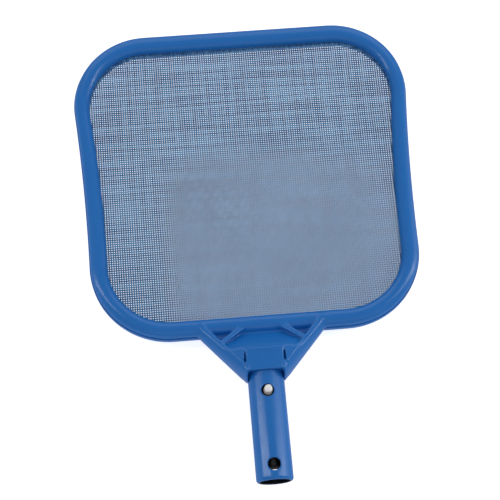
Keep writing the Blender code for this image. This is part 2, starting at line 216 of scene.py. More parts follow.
class Tree:
    """A node tree whose nodes all come from one method."""

    def __init__(self, tree):
        self.tree = tree

    def node(self, kind, settings=None, values=None, out=0):
        made = self.tree.nodes.new(kind)
        for name, setting in (settings or {}).items():
            setattr(made, name, setting)
        for name, value in (values or {}).items():
            for single in value if isinstance(value, list) else [value]:
                self.feed(made.inputs[name], single)
        return Value(self, made.outputs[out])

    def feed(self, socket, value):
        if isinstance(value, Value):
            self.tree.links.new(value.socket, socket)
        else:
            socket.default_value = value

    def axis(self, vector, name):
        return self.node("ShaderNodeSeparateXYZ", {}, {"Vector": vector}, out=name)

    def noise(self, place, scale, detail=2.0, roughness=0.5):
        values = {"Vector": place, "Scale": scale}
        values.update({"Detail": detail, "Roughness": roughness})
        return self.node("ShaderNodeTexNoise", {}, values)

    def ramp(self, value, low, high):
        """0 at low, 1 at high, smooth between them."""
        settings = {"interpolation_type": "SMOOTHSTEP"}
        values = {"Value": value, "From Min": low, "From Max": high}
        return self.node("ShaderNodeMapRange", settings, values)

    def mix(self, share, first, second):
        settings = {"data_type": "RGBA"}
        values = {0: share, 6: first, 7: second}
        return self.node("ShaderNodeMix", settings, values, out=2)

    def stretched(self, place, scale):
        return self.node("ShaderNodeMapping", {}, {"Vector": place, "Scale": scale})


class Paint(Tree):
    """A material's tree. Constants go on the shader's own sockets."""

    def __init__(self, name, **constants):
        self.material = bpy.data.materials.new(name)
        self.material.use_nodes = True
        super().__init__(self.material.node_tree)
        self.shader = self.tree.nodes["Principled BSDF"]
        for socket, value in constants.items():
            self.shader.inputs[socket.replace("_", " ")].default_value = value
        self.place = self.node("ShaderNodeTexCoord", out="Object")

    def drive(self, socket, value):
        self.feed(self.shader.inputs[socket], value)

    def streaks(self, scale, detail=2.0):
        """Noise that is stretched by its own scale along each axis."""
        return self.noise(self.stretched(self.place, scale), 1.0, detail)

    def bump(self, height, strength, distance):
        values = {"Strength": strength, "Distance": distance, "Height": height}
        self.drive("Normal", self.node("ShaderNodeBump", {}, values))


def colour(red, green, blue):
    return (red, green, blue, 1)


# ---- Materials ----------------------------------------------------------------------


PLASTIC_DEEP = colour(0.010, 0.142, 0.475)
PLASTIC_PALE = colour(0.014, 0.166, 0.540)
PLASTIC_FLOW = colour(0.019, 0.185, 0.580)
# painted highlight along the crests
PLASTIC_CREST_HIGHLIGHT = colour(0.07, 0.27, 0.63)
# painted shade for the inside of the handle
BORE_PAINTED_SHADE = colour(0.0015, 0.004, 0.012)
THREAD_DARK = colour(0.014, 0.108, 0.275)
THREAD_LIGHT = colour(0.138, 0.335, 0.562)
THREAD_YOKE_END = colour(0.018, 0.160, 0.345)
# near black: painted shade for the strip inside the tube
STEEL_DARK = colour(0.035, 0.036, 0.040)
STEEL_LIGHT = colour(0.075, 0.076, 0.082)
STEEL_STAIN = colour(0.07, 0.055, 0.045)
NYLON_DARK = colour(0.76, 0.69, 0.60)
NYLON_LIGHT = colour(0.82, 0.76, 0.68)
NYLON_TIP = colour(0.95, 0.93, 0.91)
PAPER_DARK = colour(0.86, 0.845, 0.85)
PAPER_LIGHT = colour(0.87, 0.855, 0.86)
PAPER_GLOW = colour(1.0, 0.985, 0.99)


def moulded_plastic():
    """Glossy blue, with faint flow marks, a painted highlight along the scuffed crests and
    painted shade in the bore.
    """
    paint = Paint("moulded_blue_plastic", IOR=1.49, Specular_IOR_Level=0.42)
    place = paint.place
    cloudy = paint.noise(place, scale=14, detail=3)
    flow = paint.streaks((60, 9, 60), detail=3)
    body = paint.mix(cloudy, PLASTIC_DEEP, PLASTIC_PALE)
    body = paint.mix(flow * 0.25, body, PLASTIC_FLOW)
    on_crest = paint.node("ShaderNodeAttribute", {"attribute_name": "crest"}, out="Fac")
    scuffs = paint.ramp(paint.noise(place, scale=420, detail=4, roughness=0.65), 0.42, 0.62)
    wear_and_highlight = on_crest * (0.55 + scuffs * 0.45)
    # Crests painted paler: a painted highlight along the ridges, broken by scuffs; the same
    # share makes them rougher with wear.
    body = paint.mix(wear_and_highlight * 0.35, body, PLASTIC_CREST_HIGHLIGHT)
    # The bore is painted near black: painted shade inside the tube.
    paint.drive("Base Color", paint.mix(painted_bore_shade(paint, place), body, BORE_PAINTED_SHADE))
    patchy = paint.noise(place, scale=90, detail=4, roughness=0.6)
    paint.drive("Roughness", 0.16 + patchy * 0.09 + wear_and_highlight * 0.10)
    grain = paint.noise(place, scale=2600, detail=2, roughness=0.6)
    dimples = paint.noise(place, scale=240, detail=2)
    paint.bump(grain * 0.35 + dimples, strength=0.16, distance=0.00012)
    return paint.material


def painted_bore_shade(tree, place):
    """1 inside the handle's bore, where shade is painted near black, and 0 on every moulded
    outside.
    """
    x, y, z = (tree.axis(place, name) for name in "XYZ")
    radius = (x * x + z * z).math("SQRT")
    deep = tree.ramp(radius, BORE_RADIUS + 0.0012, BORE_RADIUS + 0.0002)
    return deep * tree.ramp(y, HANDLE_TOP + 0.004, HANDLE_TOP)


def net_thread():
    """Two blues that differ from thread to thread, evened out and darker towards the yoke."""
    paint = Paint("woven_net_thread", IOR=1.5, Sheen_Weight=0.12, Sheen_Roughness=0.4)
    fibres = paint.streaks((900, 900, 300))
    lots = paint.noise(paint.place, scale=26, detail=3)
    weft = paint.streaks((12, 340, 12))
    warp = paint.streaks((340, 12, 12))
    uneven = paint.ramp(weft * 0.65 + warp * 0.35, 0.40, 0.60)
    thread = paint.mix(uneven, THREAD_DARK, THREAD_LIGHT)
    y = paint.axis(paint.place, "Y")
    # Threads turn darker and more even towards the yoke, and a little at random.
    towards_yoke = paint.ramp(y, Y_LEAD - 0.02, Y_BACK) * 0.45 + lots * 0.15
    paint.drive("Base Color", paint.mix(towards_yoke, thread, THREAD_YOKE_END))
    paint.drive("Roughness", 0.42 + fibres * 0.2)
    paint.bump(fibres, strength=0.4, distance=0.00008)
    return paint.material


def spring_steel():
    """Brushed strip with a few stains, its steel painted near black as painted shade for the
    strip inside the tube.
    """
    paint = Paint("spring_steel", Metallic=1.0)
    brushed = paint.streaks((5200, 160, 160), detail=3)
    stain = paint.noise(paint.place, scale=260, detail=3)
    # The steel's near-black colour is painted shade, for the strip inside the tube.
    steel_painted_dark = paint.mix(brushed, STEEL_DARK, STEEL_LIGHT)
    paint.drive("Base Color", paint.mix(stain * 0.4, steel_painted_dark, STEEL_STAIN))
    paint.drive("Roughness", 0.2 + brushed * 0.18)
    paint.bump(brushed, strength=0.15, distance=0.00003)
    return paint.material


def white_nylon():
    """Cream at its foot, whiter towards the tip."""
    paint = Paint("white_nylon", IOR=1.53)
    height = paint.axis(paint.place, "Z").math("ABSOLUTE")
    to_tip = paint.ramp(height, 0.0128, 0.0176)
    cloudy = paint.noise(paint.place, scale=380, detail=3)
    cream_body = paint.mix(cloudy, NYLON_DARK, NYLON_LIGHT)
    # Whiter towards the tip, cream towards the foot.
    paint.drive("Base Color", paint.mix(to_tip, cream_body, NYLON_TIP))
    paint.drive("Roughness", 0.36 + cloudy * 0.16)
    grain = paint.noise(paint.place, scale=3200, detail=2)
    paint.bump(grain, strength=0.15, distance=0.00005)
    return paint.material


def floor_paper():
    paint = Paint("floor_paper", Roughness=0.9, Emission_Strength=0.72)
    paint.shader.inputs["Emission Color"].default_value = PAPER_GLOW
    mottle = paint.noise(paint.place, scale=3, detail=2)
    paint.drive("Base Color", paint.mix(mottle, PAPER_DARK, PAPER_LIGHT))
    return paint.material


# ---- Mesh helpers -------------------------------------------------------------------


def new_piece(name, points, faces, material, smooth=True):
    """A mesh object in the scene, with one material."""
    mesh = bpy.data.meshes.new(name)
    mesh.from_pydata([tuple(p) for p in points], [], [tuple(f) for f in faces])
    mesh.materials.append(material)
    if smooth:
        mesh.shade_smooth()
    obj = bpy.data.objects.new(name, mesh)
    bpy.context.scene.collection.objects.link(obj)
    return obj


def face_outwards(obj):
    bm = bmesh.new()
    bm.from_mesh(obj.data)
    bmesh.ops.recalc_face_normals(bm, faces=bm.faces)
    bm.to_mesh(obj.data)
    bm.free()


def loft(sections, looped):
    """Points and faces over sections of equal length."""
    size = len(sections[0])
    count = len(sections)
    points = [point for section in sections for point in section]
    faces = []
    for row in range(count if looped else count - 1):
        start, following = row * size, (row + 1) % count * size
        for i in range(size):
            j = (i + 1) % size
            faces.append((start + i, start + j, following + j, following + i))
    if not looped:
        faces.append(tuple(range(size)))
        faces.append(tuple(range((count - 1) * size, count * size)))
    return points, faces


def smooth_max(a, b, blend):
    """The larger of two numbers, rounded where they are within blend of each other."""
    share = np.clip(0.5 - 0.5 * (b - a) / blend, 0, 1)
    return b + (a - b) * share + blend * share * (1 - share)


def smooth_min(a, b, blend):
    return -smooth_max(-a, -b, blend)


SKIN_ROUNDS = 3
SETTLE_MOVES = 3
SLOPE_FLOOR = 0.05  # keeps a nearly flat spot from throwing a point far away
CREST_BULGE = 0.16  # what a tight edge stands out by, as a share of a cell


class Field:
    """A solid as numbers on a grid, below zero inside it, and the skin made from them."""

    def __init__(self, low, high, step):
        self.low, self.step = np.array(low), step
        counts = [int((h - l) / step) + 2 for l, h in zip(low, high)]
        axes = [l + step * np.arange(n) for l, n in zip(low, counts)]
        self.x, self.y, self.z = np.meshgrid(*axes, indexing="ij", sparse=True)
        self.solid = None

    def sample(self, places):
        """The solid's number at any places, from the eight grid points round each."""
        last = np.array(self.solid.shape) - 1.001
        spot = np.clip((places - self.low) / self.step, 0, last)
        base = spot.astype(int)
        part = spot - base
        total = np.zeros(len(places))
        for corner in np.ndindex(2, 2, 2):
            weight = np.prod(np.where(corner, part, 1 - part), axis=1)
            total += weight * self.solid[tuple((base + corner).T)]
        return total

    def slope(self, places):
        """How fast the number changes along each axis, over half a cell to each side."""
        half = self.step / 2
        sides = [half * np.eye(3)[axis] for axis in range(3)]
        rises = [self.sample(places + s) - self.sample(places - s) for s in sides]
        return np.stack(rises, axis=1) / (2 * half)

    def skin(self, solid, name, material):
        """The solid's surface as a piece, one point for each cell that it passes."""
        self.solid = solid
        inside = solid < 0
        trimmed = [slice(0, n - 1) for n in solid.shape]
        shifted = [
            inside[tuple(slice(s.start + d, s.stop + d) for s, d in zip(trimmed, corner))]
            for corner in np.ndindex(2, 2, 2)
        ]
        active = np.any(shifted, axis=0) & ~np.all(shifted, axis=0)
        cells = np.argwhere(active)
        number = np.full(active.shape, -1)
        number[active] = np.arange(len(cells))
        total, hits = np.zeros((len(cells), 3)), np.zeros(len(cells))
        quads = []
        for axis in range(3):
            one, two = (axis + 1) % 3, (axis + 2) % 3
            step = np.eye(3, dtype=int)[axis]
            for side in ((0, 0), (0, 1), (1, 0), (1, 1)):
                start = np.zeros(3, int)
                start[one], start[two] = side
                here = solid[tuple((cells + start).T)]
                there = solid[tuple((cells + start + step).T)]
                crossed = (here < 0) != (there < 0)
                share = here[crossed] / (here[crossed] - there[crossed])
                total[crossed] += start + share[:, None] * step
                hits[crossed] += 1
            ahead = np.roll(inside, -1, axis)
            edge = inside != ahead
            for other in range(3):
                skipped = [slice(None)] * 3
                skipped[other] = [-1] if other == axis else [0, -1]
                edge[tuple(skipped)] = False
            spots = np.argwhere(edge)
            corners = []
            for back_one, back_two in ((1, 1), (0, 1), (0, 0), (1, 0)):
                cell = spots.copy()
                cell[:, one] -= back_one
                cell[:, two] -= back_two
                corners.append(number[tuple(cell.T)])
            quad = np.stack(corners, axis=1)
            outward = inside[tuple(spots.T)]
            quads.append(np.where(outward[:, None], quad, quad[:, ::-1]))
        faces = np.concatenate(quads)
        points = self.low + self.step * (cells + total / hits[:, None])
        for _ in range(SKIN_ROUNDS):
            points = self.settle(self.relaxed(points, faces))
        piece = new_piece(name, points, faces, material)
        self.mark_crests(piece, points, faces)
        return piece

    def relaxed(self, points, faces):
        """Each point moved to the middle of the points that it shares an edge with."""
        total, hits = np.zeros_like(points), np.zeros(len(points))
        for shift in (1, 3):
            near = np.roll(faces, -shift, axis=1)
            for column in range(4):
                np.add.at(total, faces[:, column], points[near[:, column]])
                np.add.at(hits, faces[:, column], 1)
        return total / hits[:, None]

    def settle(self, points):
        """Points moved along the slope on to the surface, at most a cell away."""
        for _ in range(SETTLE_MOVES):
            slope = self.slope(points)
            steep = np.maximum((slope**2).sum(axis=1), SLOPE_FLOOR)
            move = -(self.sample(points) / steep)[:, None] * slope
            length = np.linalg.norm(move, axis=1, keepdims=True)
            points = points + move * np.minimum(1, 0.5 * self.step / (length + 1e-12))
        return points

    def mark_crests(self, piece, points, faces):
        """An attribute, 1 on tight outward edges and 0 on open surfaces."""
        bulge = ((points - self.relaxed(points, faces)) * self.slope(points)).sum(axis=1)
        crest = np.clip(bulge / (CREST_BULGE * self.step) - 0.5, 0, 1)
        attribute = piece.data.attributes.new("crest", "FLOAT", "POINT")
        attribute.data.foreach_set("value", crest.astype(np.float32))


# ---- Frame outline ------------------------------------------------------------------

CORNER_STEPS = 28
SIDE_STEPS = 24
LEAN_ROUNDS = 8  # for the side's lean and its upper end to agree


def outline(y_lead, y_back, lead_radius, back_radius, half_back, flare):
    """The right half of a rounded frame whose sides bow out, from the yoke to the lead."""
    y_low = y_back + back_radius
    lean = 0.0
    for _ in range(LEAN_ROUNDS):
        y_high = y_lead - lead_radius * (1 + math.sin(lean))
        lean = math.atan(2 * flare / (y_high - y_low))
    right = [(0.0, y_back)]
    for step in range(CORNER_STEPS):
        a = math.radians(90 * step / CORNER_STEPS)
        x = half_back - back_radius * (1 - math.sin(a))
        right.append((x, y_low - back_radius * math.cos(a)))
    for step in range(SIDE_STEPS):
        share = step / SIDE_STEPS
        right.append((half_back + flare * share**2, y_low + (y_high - y_low) * share))
    centre_x = half_back + flare - lead_radius * math.cos(lean)
    centre_y = y_high + lead_radius * math.sin(lean)
    for step in range(CORNER_STEPS + 1):
        a = -lean + (math.pi / 2 + lean) * step / CORNER_STEPS
        x = centre_x + lead_radius * math.cos(a)
        right.append((x, centre_y + lead_radius * math.sin(a)))
    right.append((0.0, y_lead))
    return right


def frame_outlines():
    """The bead's outer and inner edge."""
    outer = outline(
        Y_LEAD,
        Y_BACK,
        LEAD_CORNER_RADIUS,
        BACK_CORNER_RADIUS,
        HALF_WIDTH_BACK,
        SIDE_FLARE,
    )
    inner = outline(
        Y_LEAD - BEAD_WIDTH_LEAD,
        Y_BACK + BEAD_WIDTH_BACK,
        LEAD_CORNER_RADIUS - BEAD_WIDTH_SIDE_LEAD,
        BACK_CORNER_RADIUS - BEAD_WIDTH_SIDE_BACK,
        HALF_WIDTH_BACK - BEAD_WIDTH_SIDE_BACK,
        SIDE_FLARE + BEAD_WIDTH_SIDE_BACK - BEAD_WIDTH_SIDE_LEAD,
    )
    return outer, inner


def around_frame(profile):
    """Sections round the frame, each point at (inset, share of the width, height)."""
    sections = []
    for outer, inner in zip(*frame_outlines()):
        across = Vector(inner) - Vector(outer)
        places = []
        for inset, share, z in profile:
            spot = Vector(outer) + across.normalized() * inset + across * share
            places.append((spot.x, spot.y, z))
        sections.append(places)
    mirrored = [[(-x, y, z) for x, y, z in s] for s in reversed(sections[1:-1])]
    return sections + mirrored


def outline_distance(half_outline, x, y):
    """Distance to a closed outline that climbs all the way, below zero inside it."""
    px, py = np.broadcast_arrays(np.abs(x), y)
    nearest = np.full(px.shape, 1.0)
    for (ax, ay), (bx, by) in zip(half_outline, half_outline[1:]):
        dx, dy = bx - ax, by - ay
        share = np.clip(((px - ax) * dx + (py - ay) * dy) / (dx**2 + dy**2), 0, 1)
        gap = np.hypot(px - ax - share * dx, py - ay - share * dy)
        nearest = np.minimum(nearest, gap)
    xs, ys = np.array(half_outline[1:-1]).T
    within = (px < np.interp(py, ys, xs)) & (py > ys[0]) & (py < ys[-1])
    return np.where(within, -nearest, nearest)


# ---- Front frame --------------------------------------------------------------------


def bead_solid(field, outside, inside_edge):
    """D-section bead between the outer and the inner outline."""
    share = -outside / np.maximum(inside_edge - outside, 1e-6)
    across = np.abs(2 * share - 1)
    wall_top = BEAD_FOOT + BEAD_WALL
    rise = np.maximum(field.z - wall_top, 0) / (BEAD_HEIGHT - wall_top)
    mean_radius = (BEAD_HEIGHT + BEAD_WIDTH_BACK) / 3.4
    top = (np.sqrt(across**2 + rise ** (2 / BEAD_SQUARENESS)) - 1) * mean_radius
    return smooth_max(top, BEAD_FOOT - field.z, BEAD_FOOT_EDGE)


def arm_line():
    """Where the right arm's ridge starts on the bead and where it ends at the block."""
    top = np.array([ARM_SPREAD - ARM_RIDGE_INSET, Y_BACK + BEAD_WIDTH_BACK * ARM_ON_BEAD])
    bottom = np.array([BLOCK_HALF_WIDTH - ARM_TOP / 4, BLOCK_END + ARM_TOP / 4])
    return top, bottom


def ridge_height(share):
    """The arm's height, this share of the way from the bead to the block."""
    return BEAD_HEIGHT + (BLOCK_FACE - BEAD_HEIGHT) * share


def along_and_across(x, y, start, end):
    """Distances from start, along the line to end and to that line's left."""
    line = (end - start) / np.linalg.norm(end - start)
    along = (x - start[0]) * line[0] + (y - start[1]) * line[1]
    return along, (x - start[0]) * -line[1] + (y - start[1]) * line[0]


def arm_solid(field, x):
    """Right arm: an upright inner face, a narrow ridge and a flank rounded to the foot."""
    top, bottom = arm_line()
    knee = np.array([HANDLE_RADIUS + ARM_FLANK * ARM_KNEE_SHARE, BLOCK_END - ARM_KNEE])
    collar = np.array([HANDLE_RADIUS, BLOCK_END - ARM_COLLAR])
    reach = np.linalg.norm(bottom - top)
    travel, sideways = along_and_across(x, field.y, top, bottom)
    share = np.clip(travel / reach, 0, 1.05)
    tail = np.clip((travel - reach) / ARM_TAIL, 0, 0.97)
    ridge = ridge_height(share) * np.sqrt(1 - tail**2)
    flank = ARM_FLANK + ARM_FLANK_EXTRA - ARM_FLANK_TAPER * share
    _, beyond = along_and_across(x, field.y, knee, collar)
    width = smooth_max(np.maximum(sideways / flank, 0), 1 + beyond / flank, 0.15)
    fall = np.where(field.z > 0, field.z / ridge, -field.z / (1.8 * ARM_BACK_DEPTH))
    body = (np.sqrt(np.maximum(width, 0) ** 2 + fall**2) - 1) * flank
    body = smooth_max(body, -sideways - ARM_TOP, ARM_EDGE)
    body = smooth_max(body, -ARM_BACK_DEPTH - field.z, ARM_FOOT_EDGE)
    lean = (collar[0] - bottom[0]) / (collar[1] - bottom[1])
    over_handle = bottom[0] + (field.y - bottom[1]) * lean - x
    body = smooth_max(body, over_handle - before_cut(travel, reach), ARM_CUT_EDGE)
    return smooth_max(body, -travel - ARM_RUN_UP, ARM_FOOT_EDGE), sideways


def before_cut(travel, reach):
    """Keeps the cut over the handle off the arm until its ridge has ended."""
    return np.maximum(reach - ARM_CUT_FROM_END - travel, 0) * 4


def brace_solid(field, x):
    """Right brace: a flat-topped rib from the arm's inner face to the bead."""
    arm_start, arm_end = arm_line()
    start = arm_start + (arm_end - arm_start) * BRACE_ARM_SHARE + BRACE_START_SHIFT
    foot = np.array([BRACE_FOOT, Y_BACK + BEAD_WIDTH_BACK * BRACE_ON_BEAD])
    length = np.linalg.norm(foot - start)
    travel, sideways = along_and_across(x, field.y, start, foot)
    top_start = ridge_height(BRACE_ARM_SHARE) - BRACE_BELOW_RIDGE
    top = top_start + (BEAD_HEIGHT - BRACE_DROP - top_start) * np.clip(travel / length, 0, 1)
    body = smooth_max(np.abs(sideways) - BRACE_WIDTH / 2, field.z - top, BRACE_EDGE)
    ends = np.maximum(-travel, travel - length)
    return np.maximum(np.maximum(body, ends), -field.z)


def block_solid(field, x, sideways):
    """Raised block over the handle's seat, front and back, with a ramp up to the web."""
    height = np.abs(field.z)
    face = np.where(field.z > 0, BLOCK_FACE, BLOCK_FACE * BLOCK_BACK_SHARE)
    half_width = BLOCK_HALF_WIDTH + BLOCK_DRAFT * (1 - height / face)
    sides = (x - half_width) * face / np.hypot(face, BLOCK_DRAFT)
    block = smooth_max(sides, height - face, BLOCK_EDGE)
    block = smooth_max(block, BLOCK_END - field.y, BLOCK_END_EDGE)
    block = np.maximum(block, field.y - BLOCK_END - BLOCK_LENGTH)
    ramp_end = BLOCK_END + BLOCK_LENGTH + RAMP_LENGTH
    climb = np.clip((ramp_end - field.y) / RAMP_LENGTH, 0, 1)
    fall = np.where(field.z > 0, RAMP_FALL, RAMP_FALL_BACK)
    beside = smooth_max(x - BLOCK_HALF_WIDTH, 0, RAMP_FALL_EASE)
    rise = 1 - (1 - climb) ** RAMP_BULGE
    top = face * (RAMP_TOE + (1 - RAMP_TOE) * rise) - fall * beside
    filled = np.clip((x - BLOCK_HALF_WIDTH - GROOVE_WIDTH) / GROOVE_FADE, 0, 1)
    start = BLOCK_END + RAMP_START * (1 - filled)
    ramp = smooth_max((height - top) * 0.75, (start - field.y) * 0.5, RAMP_EDGE)
    limits = np.maximum(field.y - ramp_end, sideways + RAMP_BELOW_RIDGE)
    ramp = np.maximum(ramp, limits)
    return smooth_min(block, ramp, BLOCK_RAMP_FILLET)


def make_front_frame(material):
    """The bead, the arms, the braces, the web and the block, as one moulding."""
    margin, step = 0.0022, 0.00078
    half = HALF_WIDTH_BACK + SIDE_FLARE + margin
    low = (-half, BLOCK_END - ARM_COLLAR - margin, -BLOCK_FACE - margin)
    field = Field(low, (half, Y_LEAD + margin, BLOCK_FACE + margin), step)
    outer, inner = frame_outlines()
    outside = outline_distance(outer, field.x, field.y)
    inside_edge = outline_distance(inner, field.x, field.y)
    x = np.abs(field.x)
    arm, sideways = arm_solid(field, x)
    plate = np.maximum(sideways - ARM_FLANK * 0.5, field.y - Y_BACK - BEAD_WIDTH_BACK / 2)
    plate = np.maximum(plate, BLOCK_END + WEB_SETBACK - field.y)
    web = smooth_max(field.z - WEB_FRONT, -WEB_BACK - field.z, SHARP_EDGE)
    web = np.maximum(web, plate)
    raised = smooth_min(block_solid(field, x, sideways), arm, BLOCK_ARM_FILLET)
    yoke = smooth_min(web, raised, WEB_FILLET)
    yoke = smooth_min(yoke, brace_solid(field, x), BRACE_FILLET)
    ring_space = smooth_max(outside - RING_PROUD - GAP, field.z - BEAD_FOOT, SHARP_EDGE)
    yoke = np.maximum(yoke, -ring_space)
    radius = np.sqrt(field.x**2 + field.z**2)
    seat = np.maximum(radius - HANDLE_RADIUS - GAP, field.y - HANDLE_TOP - GAP)
    yoke = smooth_max(yoke, -seat, SHARP_EDGE)
    solid = smooth_min(yoke, bead_solid(field, outside, inside_edge), BEAD_FILLET)
    solid = np.maximum(solid, -np.maximum(outside - FIT, field.z - BEAD_FOOT))
    return field.skin(solid, "front_frame_moulding", material)


# ---- Rear ring ----------------------------------------------------------------------


def quarter(inset, share, z, radius, start):
    """Points round a convex edge of the ring's section."""
    points = []
    for step in range(5):
        a = math.radians(start + 90 * step / 4)
        points.append((inset + radius * math.cos(a), share, z + radius * math.sin(a)))
    return points


def make_ring(material):
    """The flat ring behind the net, with a lip round the net's edge."""
    lip_inside = BEAD_WIDTH_SIDE_LEAD - NET_BITE - GAP
    edge = RING_EDGE
    profile = quarter(-RING_PROUD + edge, 0, RING_LIP - edge, edge, 90)
    bottom = -RING_DEPTH + RING_ROUND
    profile += quarter(-RING_PROUD + RING_ROUND, 0, bottom, RING_ROUND, 180)
    profile += quarter(-RING_ROUND, 1, bottom, RING_ROUND, 270)
    profile += [(0, 1, RING_SEAT - edge), (-edge, 1, RING_SEAT)]
    profile += [(lip_inside, 0, RING_SEAT), (lip_inside, 0, RING_LIP)]
    points, faces = loft(around_frame(profile), looped=True)
    ring = new_piece("rear_ring_moulding", points, faces, material)
    face_outwards(ring)
    ring.data.set_sharp_from_angle(angle=math.radians(50))
    return ring


# ---- Handle -------------------------------------------------------------------------


def make_handle(material):
    """The tube, a little wider towards its open end, with two pairs of cross holes."""
    margin, step = 0.0015, 0.00055
    half = HANDLE_RADIUS + HANDLE_DRAFT + margin
    low, high = (-half, HANDLE_END - margin, -half), (half, HANDLE_TOP + margin, half)
    field = Field(low, high, step)
    radius = np.sqrt(field.x**2 + field.z**2)
    start = BLOCK_END - ARM_COLLAR
    draft = np.clip((start - field.y) / (start - HANDLE_END), 0, 1) * HANDLE_DRAFT
    outside = radius - HANDLE_RADIUS - draft
    solid = smooth_max(outside, HANDLE_END - field.y, HANDLE_END_ROUND)
    solid = smooth_max(solid, field.y - HANDLE_TOP, HANDLE_TOP_ROUND)
    solid = smooth_max(solid, BORE_RADIUS - radius, HANDLE_BORE_ROUND)
    for place in HOLE_PLACES:
        hole = HOLE_RADIUS - np.hypot(field.x, field.y - place)
        solid = smooth_max(solid, hole, HOLE_ROUND)
    return field.skin(solid, "handle_tube_moulding", material)


# ---- Spring clip --------------------------------------------------------------------


def make_strip_half(name, flip, material):
    """Half of the folded strip, from the middle of its bend to the end of one pad."""
    pad_z = STRIP_FACE - STRIP_THICKNESS / 2
    path = []
    bend_steps, leg_steps, pad_steps = 14, 24, 6
    for step in range(bend_steps + 1):
        a = math.pi / 2 * step / bend_steps
        y = BEND_AXIS - BEND_RADIUS * math.cos(a)
        path.append(Vector((y, BEND_RADIUS * math.sin(a))))
    pad_start = Vector((BUTTON_PLACE - PAD_LENGTH / 2, pad_z))
    for step in range(1, leg_steps + 1):
        path.append(Vector((BEND_AXIS, BEND_RADIUS)).lerp(pad_start, step / leg_steps))
    for step in range(1, pad_steps + 1):
        path.append(pad_start + Vector((PAD_LENGTH * step / pad_steps, 0)))
    below = [(-1, -0.6), (-0.96, -1), (0.96, -1), (1, -0.6)]
    section = below + [(x, -off) for x, off in reversed(below)]
    sections = []
    for i, place in enumerate(path):
        before, after = path[max(i - 1, 0)], path[min(i + 1, len(path) - 1)]
        tangent = (after - before).normalized() if i else Vector((0, 1))
        normal = Vector((-tangent.y, tangent.x))
        tip = max(0.0, (i - len(path) + 4) / 3)
        half = STRIP_WIDTH / 2 * math.sqrt(1 - 0.35 * tip**2)
        ring = []
        for x, off in section:
            spot = place + normal * off * STRIP_THICKNESS / 2
            ring.append((x * half, spot.x, spot.y * flip))
        sections.append(ring)
    points, faces = loft(sections, looped=False)
    strip = new_piece(name, points, faces, material)
    face_outwards(strip)
    strip.data.set_sharp_from_angle(angle=math.radians(40))
    return strip


def make_button(name, flip, material):
    """Rivet head, stem, flange and domed pin."""
    strip_inside = STRIP_FACE - STRIP_THICKNESS - GAP
    under = FLANGE_FACE - FLANGE_THICKNESS
    edge = BUTTON_EDGE
    rivet_steps, dome_steps, sides = 6, 12, 48
    profile = [(0, strip_inside - RIVET_THICKNESS)]
    for step in range(rivet_steps + 1):
        a = math.pi / 2 * step / rivet_steps
        radius = RIVET_RADIUS - RIVET_ROUND * (1 - math.sin(a))
        profile.append((radius, strip_inside - RIVET_THICKNESS * math.cos(a) ** 0.6))
    profile += [(STEM_RADIUS, strip_inside), (STEM_RADIUS, under)]
    profile += [(FLANGE_RADIUS - edge, under), (FLANGE_RADIUS, under + edge)]
    profile += [(FLANGE_RADIUS, FLANGE_FACE - edge), (FLANGE_RADIUS - edge, FLANGE_FACE)]
    profile += [(BUTTON_RADIUS + edge, FLANGE_FACE), (BUTTON_RADIUS, FLANGE_FACE + edge)]
    dome = BUTTON_RADIUS * BUTTON_DOME
    for step in range(dome_steps + 1):
        a = math.pi / 2 * step / dome_steps
        radius = BUTTON_RADIUS * math.cos(a) ** 0.8 if step < dome_steps else 0
        profile.append((radius, BUTTON_TIP - dome * (1 - math.sin(a))))
    points, faces, rows = [], [], []
    for radius, z in profile:
        count = sides if radius else 1
        rows.append([len(points) + i for i in range(count)])
        for i in range(count):
            a = 2 * math.pi * i / sides
            x, y = BUTTON_SIDE + radius * math.cos(a), BUTTON_PLACE + radius * math.sin(a)
            points.append((x, y, z * flip))
    for low, high in zip(rows, rows[1:]):
        for i in range(sides):
            j = (i + 1) % sides
            ring = (low[i % len(low)], low[j % len(low)])
            ring += (high[j % len(high)], high[i % len(high)])
            faces.append(tuple(dict.fromkeys(ring)))
    button = new_piece(name, points, faces, material)
    face_outwards(button)
    button.data.set_sharp_from_angle(angle=math.radians(50))
    return button


# ---- Net ----------------------------------------------------------------------------


